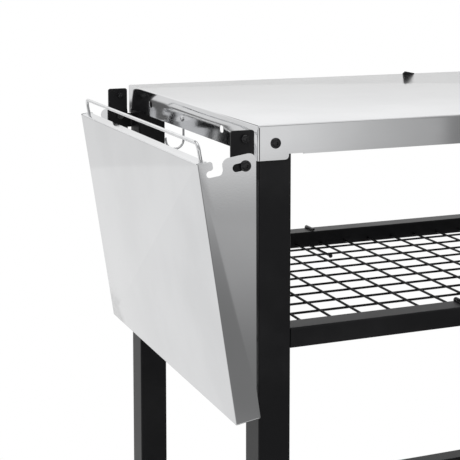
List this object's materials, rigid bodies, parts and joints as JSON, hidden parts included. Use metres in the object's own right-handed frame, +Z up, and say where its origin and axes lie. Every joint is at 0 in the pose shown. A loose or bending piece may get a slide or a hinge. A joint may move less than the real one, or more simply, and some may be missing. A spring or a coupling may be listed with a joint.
{
  "type": "grill cart",
  "caption": "Wheeled grill cart with a stainless table, wire grid shelves on black square tubes, and a stainless side shelf that folds up from the left end.",
  "frame": {"origin": "on the floor, below the middle of the bounding box", "axes": "+X to the right along the front, away from the side shelf; +Y from the front to the rear; +Z up"},
  "size_m": [0.8348, 0.5766, 0.8635],
  "materials": {
    "stainless": "fine brushed stainless sheet, semi-bright",
    "black_paint": "black powder coat, satin",
    "black_hardware": "black oxide, semi-gloss",
    "chrome": "bright chrome plate",
    "wheel_plastic": "moulded black plastic",
    "tyre": "matt black rubber",
    "rubber": "matt black rubber"
  },
  "bodies": {
    "frame": {"apron_hook": "chrome", "apron_hook_nut": "chrome", "apron_hook_screw": "chrome", "axle": "chrome", "axle_cap_front": "chrome", "axle_cap_rear": "chrome", "foot_cap_front": "rubber", "foot_cap_rear": "rubber", "hinge_fin_front": "black_paint", "hinge_fin_rear": "black_paint", "keeper_nut_front": "black_hardware", "keeper_nut_rear": "black_hardware", "keeper_stud_front": "black_hardware", "keeper_stud_rear": "black_hardware", "leg_front_left": "black_paint", "leg_front_right": "black_paint", "leg_rear_left": "black_paint", "leg_rear_right": "black_paint", "lower_shelf_bolt_front_left": "black_hardware", "lower_shelf_bolt_front_right": "black_hardware", "lower_shelf_bolt_rear_left": "black_hardware", "lower_shelf_bolt_rear_right": "black_hardware", "lower_shelf_net": "black_paint", "lower_shelf_rail_front": "black_paint", "lower_shelf_rail_left": "black_paint", "lower_shelf_rail_rear": "black_paint", "lower_shelf_rail_right": "black_paint", "middle_shelf_bolt_front_left": "black_hardware", "middle_shelf_bolt_front_right": "black_hardware", "middle_shelf_bolt_rear_left": "black_hardware", "middle_shelf_bolt_rear_right": "black_hardware", "middle_shelf_net": "black_paint", "middle_shelf_rail_front": "black_paint", "middle_shelf_rail_left": "black_paint", "middle_shelf_rail_rear": "black_paint", "middle_shelf_rail_right": "black_paint", "pivot_bolt_front": "black_hardware", "pivot_bolt_rear": "black_hardware", "pivot_nut_front": "black_hardware", "pivot_nut_rear": "black_hardware", "rear_edge_clip": "black_hardware", "table_bolt_front_left": "black_hardware", "table_bolt_front_right": "black_hardware", "table_bolt_rear_left": "black_hardware", "table_bolt_rear_right": "black_hardware", "table_channel_1": "stainless", "table_channel_2": "stainless", "table_top": "stainless", "tool_hook_front": "black_hardware", "tool_hook_rear": "black_hardware"},
    "side_shelf": {"side_shelf": "stainless", "side_shelf_rail": "chrome"},
    "wheel_front": {"wheel_front_hub": "wheel_plastic", "wheel_front_tyre": "tyre"},
    "wheel_rear": {"wheel_rear_hub": "wheel_plastic", "wheel_rear_tyre": "tyre"}
  },
  "joints": [
    {"name": "shelf_fold", "type": "hinge", "parent": "frame", "child": "side_shelf", "pos_m": [-0.35955, 0.0121, 0.8153], "axis": [0, 1, 0], "range_deg": [0, 98.6]},
    {"name": "wheel_front_spin", "type": "hinge", "parent": "frame", "child": "wheel_front", "pos_m": [0.35275, -0.24265, 0.06469], "axis": [0, 1, 0], "continuous": true},
    {"name": "wheel_rear_spin", "type": "hinge", "parent": "frame", "child": "wheel_rear", "pos_m": [0.35275, 0.26685, 0.06469], "axis": [0, 1, 0], "continuous": true}
  ]
}
